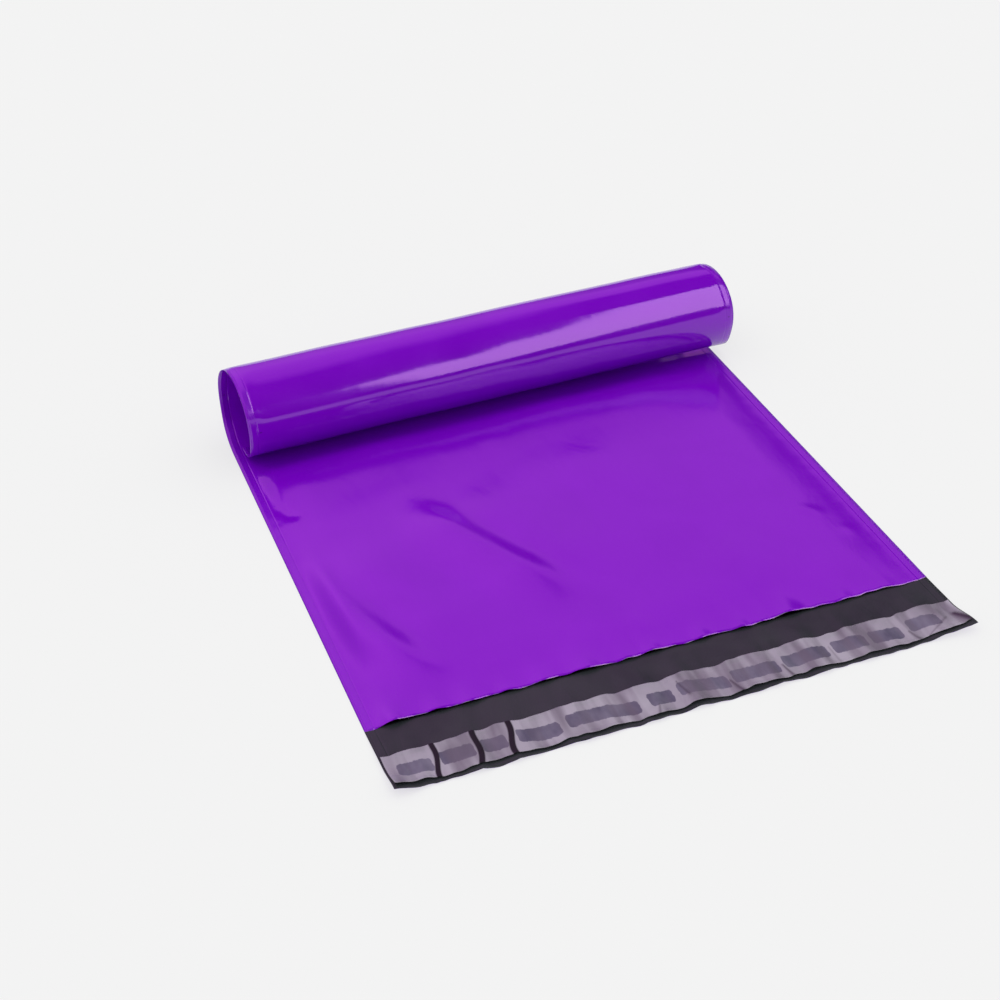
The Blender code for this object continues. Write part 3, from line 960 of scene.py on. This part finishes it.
def liner_material(texture):
    material, tree, shader, film = film_material("liner_film", texture, LINER_GRAIN)
    sheet, _, _ = sheet_place(tree)
    gathers = noise(tree, stretched(tree, sheet, GATHER_STRETCH), *GATHERS)
    # Mask of the pleats, which are painted dark as shade and made rougher
    pinched = ranged(tree, attribute(tree, "pleat"), *PLEAT_SHADE_RANGE, 0, 1)
    link(tree, liner_colour(tree, film, gathers, pinched), shader.inputs["Base Color"])
    rough = by_haze(tree, film, *LINER_ROUGH)
    rough = maths(tree, "ADD", rough, maths(tree, "MULTIPLY", pinched, PLEAT_ROUGHER))
    link(tree, rough, shader.inputs["Roughness"])
    height = maths(tree, "ADD", film["Height"], maths(tree, "MULTIPLY", gathers, GATHER_HEIGHT))
    link(tree, bump(tree, height, LINER_BUMP), shader.inputs["Normal"])
    shader.inputs["IOR"].default_value = FILM_IOR
    shader.inputs["Specular IOR Level"].default_value = LINER_GLOSS
    return material


def adhesive_material(texture):
    material, tree, shader, film = film_material("hot_melt", texture, GLUE_GRAIN)
    link(tree, mixed(tree, film["Haze"], GLUE_GREY, CONTACT_GREY), shader.inputs["Base Color"])
    link(tree, by_haze(tree, film, *GLUE_ROUGH), shader.inputs["Roughness"])
    link(tree, bump(tree, film["Height"], GLUE_BUMP), shader.inputs["Normal"])
    return material


# Studio

FLOOR_COLOUR = (0.90, 0.90, 0.90)
FLOOR_SIZE = 24.0
FLOOR_DROP = 0.0002
FLOOR_ROUGH = 0.9
FLOOR_GLOW = 0.872
FLOOR_GLOW_SHARE = 0.75

# The studio's walls as the film mirrors them: a pale ceiling on the left, a pale wall behind
CEILING_SIDE = (-0.915, 0.367, 0.166)
CEILING_EDGE = (-0.05, 0.06)
CEILING_RISE = 0.46
CEILING_FAR = 0.45
CEILING_FADE = (0.50, 0.90, 1.0, 0.40)
WALL_TOP = (0.78, 0.72)
WALL_FRONT = (0.05, 0.25)
WALL_RIGHT = (0.10, -0.06)
WALL_RIGHT_LEAN = -1.0
ROOM_LOW = (0.0, 0.50, 0.15, 1.0)
HORIZON_EDGE = (0.06, 0.035)
HORIZON_PALE = 0.896
ROOM_DIM = 0.05
ROOM_PALE = 0.85
ROOM_TINT = (0.92, 0.335, 0.98)

# The soft light that the studio gives
LIGHT_ALL_ROUND = 0.58
LIGHT_ABOVE = 0.75

# A wide softbox hangs at the right, turned a little in its own plane
SOFTBOX_PLACE = (2.0, -3.1, 2.65)
SOFTBOX_SIZE = (5.4, 2.6)
SOFTBOX_ROLL = math.radians(-5)
SOFTBOX_POWER = 132

# The camera, at the photo's viewing angle
CAMERA_TARGET = Vector((-0.0276, 0.0446, 0.0))
CAMERA_AZIMUTH = math.radians(-21.67)
CAMERA_ELEVATION = math.radians(36.60)
CAMERA_DISTANCE = 0.927
CAMERA_LENS = 60.84
CAMERA_SENSOR = 36
CAMERA_NEAR = 0.01


def reflected_ray(tree, ray):
    """1 for a ray that a surface mirrors or lets through."""
    return maths(tree, "MAXIMUM", ray["Is Glossy Ray"], ray["Is Transmission Ray"])


def make_floor():
    bm = bmesh.new()
    bmesh.ops.create_grid(bm, x_segments=1, y_segments=1, size=FLOOR_SIZE / 2)
    bmesh.ops.translate(bm, verts=bm.verts, vec=(0, 0, -FLOOR_DROP))
    material = bpy.data.materials.new("pale_floor")
    material.use_nodes = True
    tree = material.node_tree
    shader = tree.nodes["Principled BSDF"]
    shader.inputs["Base Color"].default_value = (*FLOOR_COLOUR, 1)
    shader.inputs["Roughness"].default_value = FLOOR_ROUGH
    shader.inputs["Specular IOR Level"].default_value = 0.0
    glow = node(tree, "ShaderNodeEmission", in_Color=(FLOOR_GLOW, FLOOR_GLOW, FLOOR_GLOW, 1))
    ray = node(tree, "ShaderNodeLightPath").outputs
    seen = maths(tree, "MAXIMUM", ray["Is Camera Ray"], reflected_ray(tree, ray))
    mix = node(tree, "ShaderNodeMixShader")
    link(tree, maths(tree, "MULTIPLY", seen, FLOOR_GLOW_SHARE), mix.inputs["Fac"])
    link(tree, shader.outputs["BSDF"], mix.inputs[1])
    link(tree, glow.outputs["Emission"], mix.inputs[2])
    link(tree, mix.outputs["Shader"], tree.nodes["Material Output"].inputs["Surface"])
    floor = finish_piece("floor", bm, [material])


def aimed(obj, place, target, roll=0.0):
    way = (Vector(target) - Vector(place)).normalized()
    obj.location = place
    obj.rotation_euler = (Quaternion(way, roll) @ way.to_track_quat("-Z", "Y")).to_euler()


def softbox():
    lamp = bpy.data.lights.new("side_softbox", "AREA")
    lamp.shape = "RECTANGLE"
    lamp.size, lamp.size_y = SOFTBOX_SIZE
    lamp.energy = SOFTBOX_POWER
    obj = bpy.data.objects.new("side_softbox", lamp)
    bpy.context.scene.collection.objects.link(obj)
    obj.visible_diffuse = False
    aimed(obj, SOFTBOX_PLACE, (0, *SOFTBOX_PLACE[1:]), SOFTBOX_ROLL)


def make_world():
    """The studio's walls as the film mirrors them, and the soft light that they give."""
    world = bpy.data.worlds.new("studio")
    bpy.context.scene.world = world
    world.use_nodes = True
    tree = world.node_tree
    background = tree.nodes["Background"]
    way = node(tree, "ShaderNodeTexCoord").outputs["Generated"]
    side = node(tree, "ShaderNodeVectorMath", operation="DOT_PRODUCT")
    side.inputs[1].default_value = CEILING_SIDE
    link(tree, way, side.inputs[0])
    parts = node(tree, "ShaderNodeSeparateXYZ")
    link(tree, way, parts.inputs["Vector"])
    ceiling = ranged(tree, side.outputs["Value"], *CEILING_EDGE, 0, 1)
    leaning = maths(tree, "MULTIPLY", parts.outputs["Z"], WALL_RIGHT_LEAN)
    wall = eased(tree, maths(tree, "ADD", parts.outputs["X"], leaning), *WALL_RIGHT)
    for axis, edge in (("Z", WALL_TOP), ("Y", WALL_FRONT)):
        wall = maths(tree, "MULTIPLY", wall, eased(tree, parts.outputs[axis], *edge))
    lower = ranged(tree, parts.outputs["Z"], *ROOM_LOW)
    pale = maths(tree, "MULTIPLY", maths(tree, "MAXIMUM", ceiling, wall), lower)
    pale = maths(tree, "MULTIPLY", pale, ROOM_PALE)
    rise = ranged(tree, side.outputs["Value"], CEILING_EDGE[1], CEILING_FAR, 0, CEILING_RISE)
    at_horizon = eased(tree, parts.outputs["Z"], *HORIZON_EDGE)
    horizon = maths(tree, "MULTIPLY", at_horizon, HORIZON_PALE)
    faded = ranged(tree, side.outputs["Value"], *CEILING_FADE)
    room = maths(tree, "ADD", maths(tree, "MULTIPLY", maths(tree, "ADD", pale, rise), faded), ROOM_DIM)
    mirrored = maths(tree, "MAXIMUM", room, horizon)
    above = maths(tree, "MULTIPLY", maths(tree, "MAXIMUM", parts.outputs["Z"], 0.0), LIGHT_ABOVE)
    soft = maths(tree, "ADD", above, LIGHT_ALL_ROUND)
    ray = node(tree, "ShaderNodeLightPath").outputs
    reflected = reflected_ray(tree, ray)
    lighting = blended(tree, reflected, soft, mirrored)
    strength = blended(tree, ray["Is Camera Ray"], lighting, HORIZON_PALE)
    plain = maths(tree, "MAXIMUM", at_horizon, maths(tree, "SUBTRACT", 1, reflected))
    link(tree, mixed(tree, plain, ROOM_TINT, (1, 1, 1)), background.inputs["Color"])
    link(tree, strength, background.inputs["Strength"])


def make_camera():
    camera = bpy.data.objects.new("camera", bpy.data.cameras.new("camera"))
    bpy.context.scene.collection.objects.link(camera)
    camera.data.lens = CAMERA_LENS
    camera.data.sensor_width = CAMERA_SENSOR
    camera.data.clip_start = CAMERA_NEAR
    away = Vector((
        math.sin(CAMERA_AZIMUTH) * math.cos(CAMERA_ELEVATION),
        -math.cos(CAMERA_AZIMUTH) * math.cos(CAMERA_ELEVATION),
        math.sin(CAMERA_ELEVATION),
    ))
    aimed(camera, CAMERA_TARGET + away * CAMERA_DISTANCE, CAMERA_TARGET)
    bpy.context.scene.camera = camera


def make_studio():
    make_floor()
    make_world()
    softbox()
    bpy.context.scene.view_settings.view_transform = "Standard"


def main():
    make_camera()
    texture = film_texture_group()
    welds = weld_line_group()
    film = make_film(purple_film_material(texture, welds), charcoal_film_material(texture, welds))
    liner = make_liner(liner_material(texture))
    adhesive = make_adhesive(adhesive_material(texture))
    for piece, replaced, slot in (
        (film, "mailer_bag", "film"),
        (liner, "release_liner", "liner"),
        (adhesive, "adhesive_strip", "adhesive"),
    ):
        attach(piece, "root")
        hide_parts(replaced)
    make_studio()


main()
